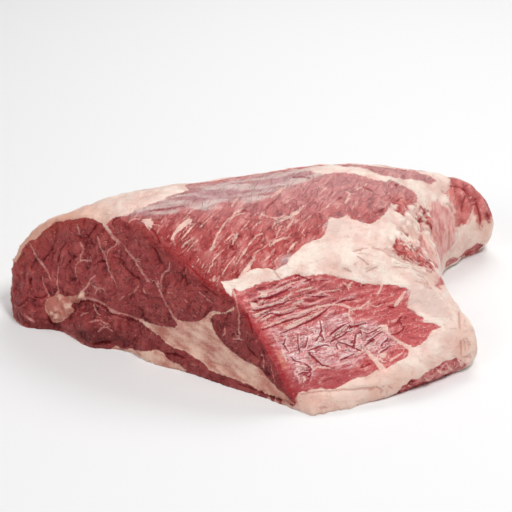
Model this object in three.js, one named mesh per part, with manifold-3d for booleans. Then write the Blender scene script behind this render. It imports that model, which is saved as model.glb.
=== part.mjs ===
// A raw veal tri-tip: the three-cornered sirloin muscle, lying on its flat underside. A knife cut across the
// grain has opened its thick end, and the front lobe is trimmed to a sloping facet inside a border of fat. A
// narrow tail is the third corner, behind a notch in the right flank.
//
// Millimetres, +Z up. X runs along the muscle, from the thick end to the lobe and the tail, and Y from the
// knife cut in front to the rounded back. The numbers below are measured from the front corner, where the
// knife cut meets the fat border; the finished solid is moved so that its origin is the middle of its base.

import * as THREE from "three";
import { mergeVertices } from "three/addons/utils/BufferGeometryUtils.js";
import Module from "manifold-3d";

const wasm = await Module();
wasm.setup();

// ---- Driving dimensions -------------------------------------------------------------------------------

const CUT_HEADING = 31; // degrees that the knife cut runs back from X
const CUT_LEAN = 10; // degrees that the cut face leans back from upright
const CORNER_HEIGHT = 4.5; // the front corner, where the facet comes down to the table
const FACET_RISE = 0.82; // climb of the facet per millimetre of Y
const FACET_FALL = 0.17; // and its fall per millimetre of X
const FACET_TURN = 0.36; // how much more it climbs towards the cut face
const TURN_BLEND = 4; // width over which that extra climb sets in
const CREASE = 6; // width of the blend between the facet and the crown
const SHOULDER = 38; // rounding from the crown into the flanks, where the meat is thick
const THIN_SHOULDER = 3.5; // and where it is thin
const SHOULDER_SHARE = 0.65; // and in between, as a share of the height
const UNDER_RADIUS = 13; // rounding where the flanks turn under
const FLANK_BULGE = 2.7; // how far the flanks swell past the footprint
const BULGE_HEIGHT = 20; // where they swell most
const BULGE_SPREAD = 18; // and how far that reaches up and down
const SAG = 5; // depth that the weight flattens against the table
const CELL = 3.9; // size of the faces

// Footprint, anticlockwise from the front corner: the lobe, the notch, the tail, the back and the thick end.
// The last five points lie in the meat that the knife takes away.
const FOOTPRINT = [
  [7, -8], [32, 4], [60, 20], [75, 31.5], [76, 43], [69.5, 58], [62.5, 76], [64.5, 92], [69.5, 108],
  [81, 122.5], [93, 132], [90, 144], [71, 151], [36, 145], [-4, 135], [-45, 118], [-83, 103], [-112, 95],
  [-127.5, 81], [-129, 57], [-106, 27], [-54, -7], [-18, -20],
].map(([x, y]) => new THREE.Vector2(x, y));

// Heights of the crown over the table, as x, y and height, before the facet and the rounded shoulders.
const CROWN = [
  [-117, 83, 51], [-93, 83, 58.5], [-77, 85, 62], [-50, 95, 61.5], [-25, 104, 59.5], [2, 113, 58],
  [34, 123, 55], [68, 137, 44], [88, 133, 38], [-88, 66, 56], [-64, 51, 57], [-53, 42, 50], [-42, 34, 44],
  [-29, 25, 41], [0, 45, 43], [14, 65, 50], [31, 47, 40], [46, 77, 45], [50, 47, 32], [64, 74, 32],
  [63, 59, 27], [76, 28, 16], [75, 46, 19], [60, 27, 25], [27, 4, 31],
];

// Ridges and, with a negative height, furrows of the outer surface: from, to, half width and height.
const point = (x, y, z) => new THREE.Vector3(x, y, z);
const RELIEF = [
  // The fat band over the facet, and on to the notch.
  { from: point(-18, 38, 42.5), to: point(30.5, 54, 38.5), width: 8, height: 1.5 },
  { from: point(30.5, 54, 38.5), to: point(59.5, 66.5, 27), width: 11, height: 2 },
  // The fat border of the lobe.
  { from: point(5.5, -2.5, 2.5), to: point(54, 18, 12.5), width: 7, height: 3.5 },
  // The strap of fat at the notch, with a furrow on each side.
  { from: point(41.5, 86.5, 47), to: point(63, 75.5, 30.5), width: 4.5, height: -2 },
  { from: point(47, 93.5, 48.5), to: point(65, 83, 23.5), width: 4, height: 2 },
  { from: point(56, 101, 45), to: point(66.5, 93.5, 18), width: 4, height: -2 },
  // A fold down the tail.
  { from: point(75.5, 131.5, 41.5), to: point(88, 126, 12.5), width: 4.5, height: -1.5 },
];

// Swellings of the cut face, where its muscle bundles hang over the table: how far along from the front
// corner, how high up, half length, half height and how far out.
const BUNDLES = [
  { along: 137.5, up: 3, length: 13, height: 19, out: 9 },
  { along: 105, up: 2, length: 12, height: 15.5, out: 7.5 },
  { along: 71, up: 2, length: 14, height: 12.5, out: 3.5 },
  { along: 39.5, up: 0, length: 16, height: 9, out: 2 },
  { along: 3.5, up: 0, length: 20, height: 8, out: 2.5 },
  { along: 113.5, up: 36, length: 23.5, height: 18, out: 2 },
  { along: 66.5, up: 29, length: 21.5, height: 14.5, out: 1.5 },
  { along: 30.5, up: 14.5, length: 14.5, height: 11, out: 1 },
];
// The seam of fat across the cut face, as along and up, and its furrow.
const SEAM = [[155, 18], [137, 14], [115, 17], [95, 15], [76, 13], [52, 12], [31, 6], [5, 2]];
const SEAM_WIDTH = 4.5;
const SEAM_DEPTH = 1.6;

// ---- Small helpers ------------------------------------------------------------------------------------

const radians = THREE.MathUtils.degToRad;
const clamp = THREE.MathUtils.clamp;
const bell = (distance, width) => Math.exp(-((distance / width) ** 2));

// The larger of two distances, with the corner between them rounded to a radius.
function roundMax(a, b, radius) {
  const u = Math.max(a + radius, 0);
  const v = Math.max(b + radius, 0);
  return Math.min(-radius, Math.max(a, b)) + Math.hypot(u, v);
}

// The smaller of two heights, blended over a width.
function softMin(a, b, width) {
  const h = clamp(0.5 + (0.5 * (b - a)) / width, 0, 1);
  return THREE.MathUtils.lerp(b, a, h) - width * h * (1 - h);
}

// Zero for a negative number and the number itself for a large one, with no corner between.
const rampUp = (value, width) => (value + Math.hypot(value, width)) / 2;

const segment = new THREE.Line3();
const foot = new THREE.Vector3();
function distanceToSegment(p, from, to) {
  segment.set(from, to).closestPointToPoint(p, true, foot);
  return foot.distanceTo(p);
}

// ---- The muscle before the knife ----------------------------------------------------------------------

const outline = new THREE.SplineCurve([...FOOTPRINT, FOOTPRINT[0]]).getPoints(FOOTPRINT.length * 6);

// Distance from a point to the footprint's edge, negative inside.
function footprintDistance(x, y) {
  let nearest = Infinity;
  let inside = false;
  for (let i = 0; i < outline.length - 1; i++) {
    const a = outline[i];
    const b = outline[i + 1];
    const ex = b.x - a.x;
    const ey = b.y - a.y;
    const along = clamp(((x - a.x) * ex + (y - a.y) * ey) / (ex * ex + ey * ey || 1), 0, 1);
    nearest = Math.min(nearest, Math.hypot(x - a.x - along * ex, y - a.y - along * ey));
    if (a.y > y !== b.y > y && x < a.x + ((y - a.y) * ex) / ey) inside = !inside;
  }
  return inside ? -nearest : nearest;
}

// Weights that make a matrix times them equal the wanted column, by elimination. Each row of the matrix ends
// in its wanted value.
function solve(rows) {
  const size = rows.length;
  for (let c = 0; c < size; c++) {
    const larger = (best, row) => (Math.abs(row[c]) > Math.abs(best[c]) ? row : best);
    const pivot = rows.slice(c).reduce(larger);
    rows.splice(rows.indexOf(pivot), 1);
    rows.splice(c, 0, pivot);
    for (let r = c + 1; r < size; r++) {
      const share = rows[r][c] / pivot[c];
      for (let k = c; k <= size; k++) rows[r][k] -= share * pivot[k];
    }
  }
  const weights = new Array(size).fill(0);
  for (let r = size - 1; r >= 0; r--) {
    const rest = weights.reduce((sum, w, k) => sum + w * rows[r][k], 0);
    weights[r] = (rows[r][size] - rest) / rows[r][r];
  }
  return weights;
}

// A thin plate bent through the crown's heights.
const plateBend = (dx, dy) => {
  const squared = dx * dx + dy * dy;
  return squared > 0 ? squared * Math.log(squared) : 0;
};
const plateTerms = (x, y) => [
  ...CROWN.map(([px, py]) => plateBend(x - px, y - py)),
  1,
  x / 100,
  y / 100,
];
const plateWeights = solve([
  ...CROWN.map(([x, y, height]) => [...plateTerms(x, y), height]),
  [...CROWN.map(() => 1), 0, 0, 0, 0],
  [...CROWN.map(([x]) => x / 100), 0, 0, 0, 0],
  [...CROWN.map(([, y]) => y / 100), 0, 0, 0, 0],
]);
function crownHeight(x, y) {
  return plateTerms(x, y).reduce((sum, term, i) => sum + term * plateWeights[i], 0);
}

// Height of the trimmed facet over the front lobe, which climbs from the front corner.
function facetHeight(x, y) {
  return CORNER_HEIGHT + FACET_RISE * y - FACET_FALL * x + FACET_TURN * rampUp(-x, TURN_BLEND);
}

// Negative inside the muscle, and about a distance near its surface. Farther off the relief is left out.
const NEAR = 3 * CELL;
function muscle(p) {
  const top = softMin(crownHeight(p.x, p.y), facetHeight(p.x, p.y), CREASE);
  const flank = footprintDistance(p.x, p.y) - FLANK_BULGE * bell(p.z - BULGE_HEIGHT, BULGE_SPREAD);
  const over = roundMax(flank, p.z - top, clamp(top * SHOULDER_SHARE, THIN_SHOULDER, SHOULDER));
  const body = roundMax(over, -SAG - p.z, UNDER_RADIUS);
  if (Math.abs(body) > NEAR) return body;
  return RELIEF.reduce((d, r) => d - r.height * bell(distanceToSegment(p, r.from, r.to), r.width), body);
}

// Evens out a geometry's vertices: each moves to the middle of its neighbours, and back onto the surface
// where the field is zero.
function relax(geometry, field, rounds) {
  const step = 0.5;
  const gentlest = 0.2; // the least slope squared that a move is worked out from
  const position = geometry.attributes.position;
  const neighbours = Array.from({ length: position.count }, () => new Set());
  const index = geometry.index.array;
  for (let i = 0; i < index.length; i += 3)
    for (let k = 0; k < 3; k++) neighbours[index[i + k]].add(index[i + ((k + 1) % 3)]);
  const axes = [point(step, 0, 0), point(0, step, 0), point(0, 0, step)];
  for (let round = 0; round < rounds; round++) {
    const before = position.clone();
    for (let i = 0; i < position.count; i++) {
      const p = new THREE.Vector3();
      for (const n of neighbours[i]) p.add(new THREE.Vector3().fromBufferAttribute(before, n));
      p.divideScalar(neighbours[i].size);
      const value = field(p);
      const slope = point(...axes.map((axis) => (field(p.clone().add(axis)) - value) / step));
      p.addScaledVector(slope, -value / Math.max(slope.lengthSq(), gentlest));
      position.setXYZ(i, p.x, p.y, p.z);
    }
  }
  return geometry;
}

// The surface where a field is zero, as even faces: each grid cell that the surface crosses gets one vertex,
// at the middle of the crossings on its edges, and each grid edge that it crosses gets two triangles.
function surfaceNet(field, low, high, cell) {
  const count = ["x", "y", "z"].map((k) => Math.ceil((high[k] - low[k]) / cell) + 1);
  const stride = [1, count[0], count[0] * count[1]];
  const at = (i, j, k) => i + j * stride[1] + k * stride[2];
  const value = new Float32Array(count[0] * count[1] * count[2]);
  for (let k = 0; k < count[2]; k++)
    for (let j = 0; j < count[1]; j++)
      for (let i = 0; i < count[0]; i++)
        value[at(i, j, k)] = field(point(i, j, k).multiplyScalar(cell).add(low));

  const corners = [0, 1, 2, 3, 4, 5, 6, 7];
  const corner = corners.map((c) => [c & 1, (c >> 1) & 1, c >> 2]);
  const edges = [1, 2, 4].flatMap((bit) => corners.filter((c) => !(c & bit)).map((c) => [c, c | bit]));
  const positions = [];
  const vertexOf = new Map();
  const vertexIn = (i, j, k) => {
    const key = at(i, j, k);
    if (!vertexOf.has(key)) {
      const mean = new THREE.Vector3();
      let crossings = 0;
      for (const [a, b] of edges) {
        const [p, q] = [corner[a], corner[b]];
        const va = value[at(i + p[0], j + p[1], k + p[2])];
        const vb = value[at(i + q[0], j + q[1], k + q[2])];
        if (va < 0 === vb < 0) continue;
        const share = va / (va - vb);
        mean.add(point(...p).lerp(point(...q), share));
        crossings++;
      }
      mean.divideScalar(crossings).add(point(i, j, k)).multiplyScalar(cell).add(low);
      vertexOf.set(key, positions.length / 3);
      positions.push(mean.x, mean.y, mean.z);
    }
    return vertexOf.get(key);
  };

  const triangles = [];
  for (let k = 1; k < count[2] - 1; k++)
    for (let j = 1; j < count[1] - 1; j++)
      for (let i = 1; i < count[0] - 1; i++)
        for (let axis = 0; axis < 3; axis++) {
          const inside = value[at(i, j, k)] < 0;
          if (inside === value[at(i, j, k) + stride[axis]] < 0) continue;
          const back = [[0, 1, 0], [0, 0, 1], [1, 0, 0]][axis];
          const side = [[0, 0, 1], [1, 0, 0], [0, 1, 0]][axis];
          const start = [i, j, k];
          const [a, b, c, d] = [[0, 0], [1, 0], [1, 1], [0, 1]].map(([u, v]) =>
            vertexIn(...start.map((n, m) => n - u * back[m] - v * side[m])),
          );
          triangles.push(...(inside ? [a, b, c, a, c, d] : [a, c, b, a, d, c]));
        }

  const geometry = new THREE.BufferGeometry();
  geometry.setAttribute("position", new THREE.Float32BufferAttribute(positions, 3));
  geometry.setIndex(triangles);
  return geometry;
}

// ---- Cutting ------------------------------------------------------------------------------------------

function solidOf(geometry) {
  return new wasm.Manifold(
    new wasm.Mesh({
      numProp: 3,
      vertProperties: new Float32Array(geometry.attributes.position.array),
      triVerts: new Uint32Array(geometry.index.array),
    }),
  );
}

function geometryOf(solid) {
  const { vertProperties, triVerts } = solid.getMesh();
  const geometry = new THREE.BufferGeometry();
  geometry.setAttribute("position", new THREE.BufferAttribute(new Float32Array(vertProperties), 3));
  geometry.setIndex(new THREE.BufferAttribute(new Uint32Array(triVerts), 1));
  geometry.computeVertexNormals();
  return geometry;
}

// A box with its shared vertices merged.
function block(width, depth, height, ...segments) {
  const box = new THREE.BoxGeometry(width, depth, height, ...segments);
  box.deleteAttribute("normal");
  box.deleteAttribute("uv");
  return mergeVertices(box, 1e-4);
}

// How far the cut face stands out of the knife's plane.
function cutRelief(along, up) {
  const out = BUNDLES.reduce(
    (sum, b) => sum + b.out * bell((along - b.along) / b.length, 1) * bell((up - b.up) / b.height, 1),
    0,
  );
  const p = new THREE.Vector3(along, up, 0);
  const toSeam = SEAM.slice(1).map(([x, y], i) =>
    distanceToSegment(p, point(SEAM[i][0], SEAM[i][1], 0), point(x, y, 0)),
  );
  return out - SEAM_DEPTH * bell(Math.min(...toSeam), SEAM_WIDTH);
}

// The meat that the knife takes off: a slab whose near side is the cut face. Its own X runs back from the
// front corner along the cut, and its Z up the face.
function knife() {
  const length = 240;
  const height = 130;
  const thickness = 80;
  const beyond = 30; // past the front corner
  const slab = block(length, thickness, height, Math.round(length / CELL), 1, Math.round(height / CELL));
  slab.translate(beyond - length / 2, -thickness / 2, 0);
  const position = slab.attributes.position;
  for (let i = 0; i < position.count; i++)
    if (position.getY(i) > -thickness / 2)
      position.setY(i, -cutRelief(-position.getX(i), position.getZ(i)));
  slab.rotateX(-radians(CUT_LEAN));
  slab.rotateZ(-radians(CUT_HEADING));
  return slab;
}

// The room around the muscle, with some air on each side.
const AIR = 14;
const plan = new THREE.Box2().setFromPoints(FOOTPRINT).expandByScalar(AIR);
const highest = Math.max(...CROWN.map(([, , height]) => height));
const low = point(plan.min.x, plan.min.y, -SAG - AIR / 2);
const high = point(plan.max.x, plan.max.y, highest + AIR);

// The table that the underside rests on.
const TABLE_DEPTH = 40;
const span = plan.getSize(new THREE.Vector2());
const middle = plan.getCenter(new THREE.Vector2());
const table = block(2 * span.x, 2 * span.y, TABLE_DEPTH).translate(middle.x, middle.y, -TABLE_DEPTH / 2);

const ROUNDS = 3;
const skin = relax(surfaceNet(muscle, low, high, CELL), muscle, ROUNDS);
const trimmed = solidOf(skin).subtract(solidOf(knife())).subtract(solidOf(table));

// ---- The part -----------------------------------------------------------------------------------------

const meat = new THREE.MeshStandardMaterial({ color: 0xa6484a, roughness: 0.42, metalness: 0 });
const geometry = geometryOf(trimmed);
geometry.computeBoundingBox();
const { min, max } = geometry.boundingBox;
geometry.translate(-(min.x + max.x) / 2, -(min.y + max.y) / 2, 0);

const triTip = new THREE.Mesh(geometry, meat);
triTip.name = "tri_tip";

const part = new THREE.Group();
part.add(triTip);

export default part;
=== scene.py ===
"""Looks of a raw veal tri-tip: a fine mesh over the solid's form, with fat, fibres and a wet facet.

Metres, +Z up, in the part's own frame. Lengths of the surface's detail are in millimetres. The fat, the lean
and the veins that face the camera are drawn as named outlines and strokes in the photograph's pixels, which
the camera below lays onto the meat. What the photograph doesn't show has fat and lean by noise.
"""

import math
from types import SimpleNamespace

import bpy
import numpy as np
from mathutils import Matrix, Vector
from mathutils.bvhtree import BVHTree


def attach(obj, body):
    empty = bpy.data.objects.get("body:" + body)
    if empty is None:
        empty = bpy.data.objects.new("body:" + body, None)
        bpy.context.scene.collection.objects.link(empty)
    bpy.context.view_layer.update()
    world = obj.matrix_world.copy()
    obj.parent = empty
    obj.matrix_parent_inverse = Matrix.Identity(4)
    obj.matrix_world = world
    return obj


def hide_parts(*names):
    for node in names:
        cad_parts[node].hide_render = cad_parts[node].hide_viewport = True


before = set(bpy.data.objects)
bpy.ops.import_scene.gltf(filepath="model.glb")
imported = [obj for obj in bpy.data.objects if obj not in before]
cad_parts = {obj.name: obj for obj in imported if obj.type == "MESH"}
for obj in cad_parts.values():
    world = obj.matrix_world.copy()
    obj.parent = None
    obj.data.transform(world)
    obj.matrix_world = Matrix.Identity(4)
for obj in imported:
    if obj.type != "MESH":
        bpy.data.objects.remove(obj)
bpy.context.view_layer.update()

MM = 0.001

# ---- The photograph's camera ------------------------------------------------------------------------------

PHOTO_SIDE = 512  # pixels
LENS_MM = 120.0
SENSOR_MM = 36.0
ELEVATION = math.radians(30.0)
DISTANCE = 767.7 * MM
AIM = np.array([-1.04, 3.92, 28.8]) * MM
PIXEL_MM = DISTANCE / MM * SENSOR_MM / LENS_MM / PHOTO_SIDE  # a pixel's width on the meat

BACK = np.array([0.0, -math.cos(ELEVATION), math.sin(ELEVATION)])
RIGHT = np.array([1.0, 0.0, 0.0])
UP = np.array([0.0, math.sin(ELEVATION), math.cos(ELEVATION)])
EYE = AIM + BACK * DISTANCE


def to_pixels(points):
    """Where points of the meat, in metres, show in the photograph."""
    offset = points - EYE
    depth = -(offset @ BACK)
    focal = LENS_MM / SENSOR_MM * PHOTO_SIDE
    half = PHOTO_SIDE / 2
    return np.stack([half + focal * (offset @ RIGHT) / depth, half - focal * (offset @ UP) / depth], -1)


# ---- What the photograph shows, in its pixels -------------------------------------------------------------

# The knife-cut face at the left, and its fat.
CUT_FACE = [
    (16, 262), (24, 248), (30, 241), (37, 239), (43, 232), (56, 222), (86, 218), (94, 219.5), (101, 223),
    (111, 234), (114, 228), (111, 223), (113, 219), (118, 217), (132, 225), (150, 233), (188, 266),
    (208, 286), (231, 297), (241, 306), (275, 364), (284, 383), (297, 402), (290, 412), (150, 385),
    (90, 360), (0, 330), (0, 270),
]
FAT_LUMP = [
    (57, 292), (65, 296), (72, 296.5), (78, 294.5), (83, 290), (86, 293), (86, 298.5), (80, 300), (77, 303),
    (73, 303), (71, 306), (74, 309.5), (64, 321), (52, 324), (45.5, 310), (44.5, 304), (48, 298), (54, 296),
]
FAT_SEAM = [
    (136, 318), (143, 319.5), (150, 323.5), (158, 325.5), (175, 327.5), (178, 325), (177, 320), (188, 322),
    (196, 321.5), (203, 319), (210, 311.5), (215, 310.5), (221, 312.5), (225, 312), (234, 307), (235, 308.5),
    (225, 314), (218, 313.5), (212, 315), (210, 319), (217, 336), (230, 350), (245, 361), (253, 364),
    (261, 370), (272, 383), (286, 394), (296, 405), (258, 390), (248, 383.5), (210, 371), (205, 365),
    (197, 358.5), (188, 353), (172, 346.5),
]
FAT_BASE = [
    (116, 346), (122, 350), (130, 348.5), (140, 351), (158, 350), (164, 352), (166, 357), (170, 361),
    (178, 364), (186, 370), (170, 374), (130, 362), (112, 350),
]

# Lean meat of the outside; the rest of the outside is fat.
LEAN_FACET = [
    (233, 288), (240, 292), (262, 282.5), (280, 280), (296, 274), (306, 276), (325, 274), (365, 284),
    (388, 284.5), (398, 286), (411.5, 291), (409, 297), (409, 303), (407.5, 307), (413, 310), (417, 315),
    (424, 319), (423, 322), (435, 324), (441, 327.5), (432, 331), (425, 341), (420, 345), (413, 347),
    (408, 347), (409, 352), (406, 358), (393, 364), (384, 370), (380, 371), (375, 369.5), (374, 372),
    (368, 376), (352, 380), (337, 388), (328, 389.5), (320, 388.5), (299, 393), (297, 398), (288, 398),
    (262, 360), (232, 300),
]
LEAN_TOP = [
    (232, 300), (221, 283), (222, 281.5), (238, 279), (249, 270.5), (268, 268.5), (275, 270), (287, 264),
    (289, 258), (305, 243.5), (320, 238.5), (325, 234), (329, 219), (339, 218), (347, 215), (352, 219),
    (364, 223), (372, 223.5), (384, 215.5), (388, 208), (392, 204), (400, 212.5), (404, 211), (416, 201),
    (418, 198), (410, 190), (392, 181.5), (385, 182), (368, 177), (343, 173), (322, 175), (300, 170),
    (290, 165), (183, 178), (184, 185), (190, 190), (144, 207), (135, 211), (128, 216), (114, 217),
    (105, 226), (150, 262), (200, 296),
]
LEAN_BACK = [
    (340, 158), (400, 160), (417, 171), (433, 177), (436, 181), (430, 184.5), (424, 181.5), (412, 179.5),
    (392, 178.5), (381, 175.5), (367, 168.5), (342, 166.5),
]
LEAN_TAIL = [
    (430, 166), (446, 174), (450, 180), (448, 194), (455, 212), (456, 226), (467, 222.5), (474, 214),
    (478, 226), (480.5, 229), (483, 221), (487, 222.5), (492, 219), (502, 218), (500, 195), (470, 172),
    (450, 164),
]
LEAN_TEAR = [
    (397, 238), (401, 242), (404, 243), (407, 242), (411, 248), (416, 250), (420, 247), (421, 253),
    (431, 261), (436, 267), (437, 272), (427, 269), (420, 264), (411, 261), (398, 252.5), (391, 252),
    (397, 248),
]
LEAN_TEAR_TOP = [(401, 233.5), (404, 234), (407, 237), (405, 240), (401.5, 237)]
LEAN_DASHES = [
    [(422, 210), (427, 212), (433, 224), (432, 228), (421, 214)],
    [(415, 219), (421, 217), (422, 222), (421, 228), (426, 230), (424, 232), (419, 228), (419, 223)],
]
LEAN_UNDER_TAIL = [(442, 266), (452, 257), (458, 258), (452, 272), (444, 284), (436, 286), (440, 276)]
LEAN_TAIL_RIM = [(459, 257), (465, 251), (472, 248), (476, 243), (490, 246), (470, 262)]
LEAN_STRIP = [
    (398, 391), (402, 386.5), (408, 384), (411, 379.5), (418, 379), (424, 374), (438, 366.5), (444, 361),
    (457, 358), (467, 363.5), (475, 372), (440, 395), (405, 400),
]
# Pale pink fascia over lean: the strap that runs from the tail down to the notch.
STRAP = [
    (431, 202), (437, 200), (451, 210), (456, 224), (455, 238), (451, 249), (447, 252), (442, 262),
    (440, 272), (442, 284), (442, 293), (436, 288), (435, 272), (431, 262), (424, 255), (420, 246),
    (419, 234), (424, 236), (430, 242), (434, 236), (429, 207),
]
# Bluish sheen of silverskin along the far edge of the top, and the torn membrane beside the facet.
SILVER_TOP = [
    (128, 215), (140, 208), (160, 200), (200, 188), (245, 181), (262, 176), (300, 168), (322, 166),
    (322, 173), (300, 181), (285, 188), (240, 201), (195, 209), (165, 212), (150, 216), (135, 217),
]
SILVER_LOBE = [
    (411, 290), (418, 287), (432, 291), (441, 299), (448, 308), (452, 318), (440, 322), (430, 318),
    (412, 307), (409, 299),
]
SILVER_BAND = [
    (328, 219), (345, 217), (352, 222), (362, 224), (356, 229), (342, 230), (333, 236), (327, 234),
]
SILVER_TIP = [(280, 258), (290, 254), (291, 260), (286, 266), (279, 266)]

# Where the surface is torn, so that fat and lean run into each other.
RAGGED = [
    (388, 196), (402, 196), (424, 202), (434, 208), (436, 225), (436, 284), (422, 268), (398, 262),
    (386, 244), (398, 226), (392, 212),
]
# The glossy, crumpled membrane on the facet, and the facet's ridged corner.
MEMBRANE = [
    (268, 327), (284, 329), (300, 324), (318, 316), (332, 312), (346, 316), (352, 322), (372, 322),
    (390, 330), (392, 345), (380, 357), (366, 352), (352, 362), (312, 370), (298, 374), (288, 362),
]
RIDGED_CORNER = [
    (238, 290), (262, 282), (300, 274), (352, 280), (360, 300), (330, 312), (285, 322), (258, 326),
]
RIM_FAT = [(276, 350), (281, 352), (287, 368), (283, 368), (279, 360)]
# Where the fat at the lobe's rim lies in lumps.
LUMPY_RIM = [(450, 296), (470, 300), (490, 330), (484, 366), (462, 364), (460, 345), (462, 325)]

# Thin fat in the lean: points along each vein, and its width there.
CUT_VEINS = [
    [(30, 243, 1), (34, 250, 1.2), (37, 258, 1.6), (45, 267, 1.8), (52, 280, 0.8)],
    [(43, 276, 0.7), (43, 283, 0.9), (49, 297, 1.2)], [(78, 225, 0.9), (79, 230, 1.2), (79.5, 236, 0.6)],
    [(80, 242, 0.8), (83, 248, 1.6), (80, 260, 1.1), (92, 261, 0.7)], [(89, 257, 1.4), (91, 262, 2)],
    [(79, 262, 0.6), (75.5, 266, 1.2), (77, 277, 0.6)], [(59, 266, 0.6), (57.5, 276, 0.9), (58.5, 293, 1.6)],
    [(98, 236, 1), (100, 241, 1.2), (101, 247, 0.9), (106, 257, 1.2), (107, 262, 1.8), (110, 272, 1.5),
     (113, 277, 1.2), (117, 287, 0.8)],
    [(119, 240, 1.2), (115, 246, 1), (110, 249, 1.4), (107.5, 252, 1.2), (107.5, 257, 0.8)],
    [(104, 225, 3.4), (114, 238, 2.6), (118, 241, 2.6), (121, 243, 0.8)],
    [(124, 246, 1.4), (134, 258.5, 1.9), (142, 271, 1.6), (146, 278, 2.4), (149.5, 282, 1.6)],
    [(134, 258, 0.9), (141, 259, 0.5)],
    [(150, 280, 0.7), (154, 280.5, 1.2), (158, 284, 1.7), (165, 302, 1.4), (173, 314, 1.6), (182, 328, 4)],
    [(170, 262, 0.6), (169.5, 267, 1.2), (168, 270.5, 2), (165, 272, 1.2), (162.5, 275, 2), (161, 280, 1.2),
     (162, 288, 0.8)],
    [(184, 275, 1.2), (186, 272, 0.8), (187, 268, 0.6)],
    [(83, 291, 2.2), (88, 285.5, 1.7), (89.5, 280, 1), (93, 277.5, 1.6), (96, 275, 0.6)],
    [(89, 284, 1), (94, 286.5, 1.9), (98, 288, 1.7), (103, 288, 1.1), (106, 292, 1)],
    [(97, 288, 1.2), (95.5, 294, 1.6)],
    [(80, 299, 3), (88, 298, 2.4), (96, 300, 2), (103, 303.5, 1.7), (108, 307, 2.2), (112, 310.5, 3.6),
     (117, 312.5, 2.6), (122, 313, 1.2), (136, 318.5, 1.9), (143, 320.5, 3)],
    [(81, 316, 1), (84, 313.5, 1.3), (88, 312.5, 0.6)],
    [(94, 304, 0.7), (94.5, 309, 1.1), (97, 313, 0.9), (101, 315, 0.6)],
    [(88, 323, 0.6), (95, 320.5, 1.2), (101, 320, 1.1), (105, 323, 0.8), (109, 324, 1)],
    [(98.5, 332, 0.8), (102, 327.5, 1.2), (107, 327.5, 1.2), (113, 331, 0.7)],
    [(65, 330, 0.8), (69, 334, 1.4), (73, 333, 1.6)], [(26, 316, 1.5), (30, 319, 2.6), (34, 323, 1.6)],
    [(232, 289, 2.2), (235, 295, 1.4), (239, 312, 0.9), (240, 337, 1.2)],
    [(234, 338.5, 1.6), (239, 338.5, 1.8), (244, 340, 0.7)],
    [(225, 326, 0.7), (226, 333, 1.3), (223, 336, 0.8)], [(262, 354, 1), (264, 361, 1.2), (263, 370, 0.7)],
    [(271, 365, 0.6), (275, 381, 0.6)], [(120, 300, 1.4), (124, 296, 0.8)],
    [(199, 291, 0.6), (212, 304, 0.6)], [(129, 295, 0.5), (136, 290, 0.9), (139, 285, 0.6)],
    [(143, 288, 1.2), (146, 293, 1.4)], [(168, 292, 0.8), (173, 293, 0.8)],
    [(184, 299, 0.8), (187, 302, 1.2)], [(206, 333, 0.6), (196, 330, 0.6)],
]
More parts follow.
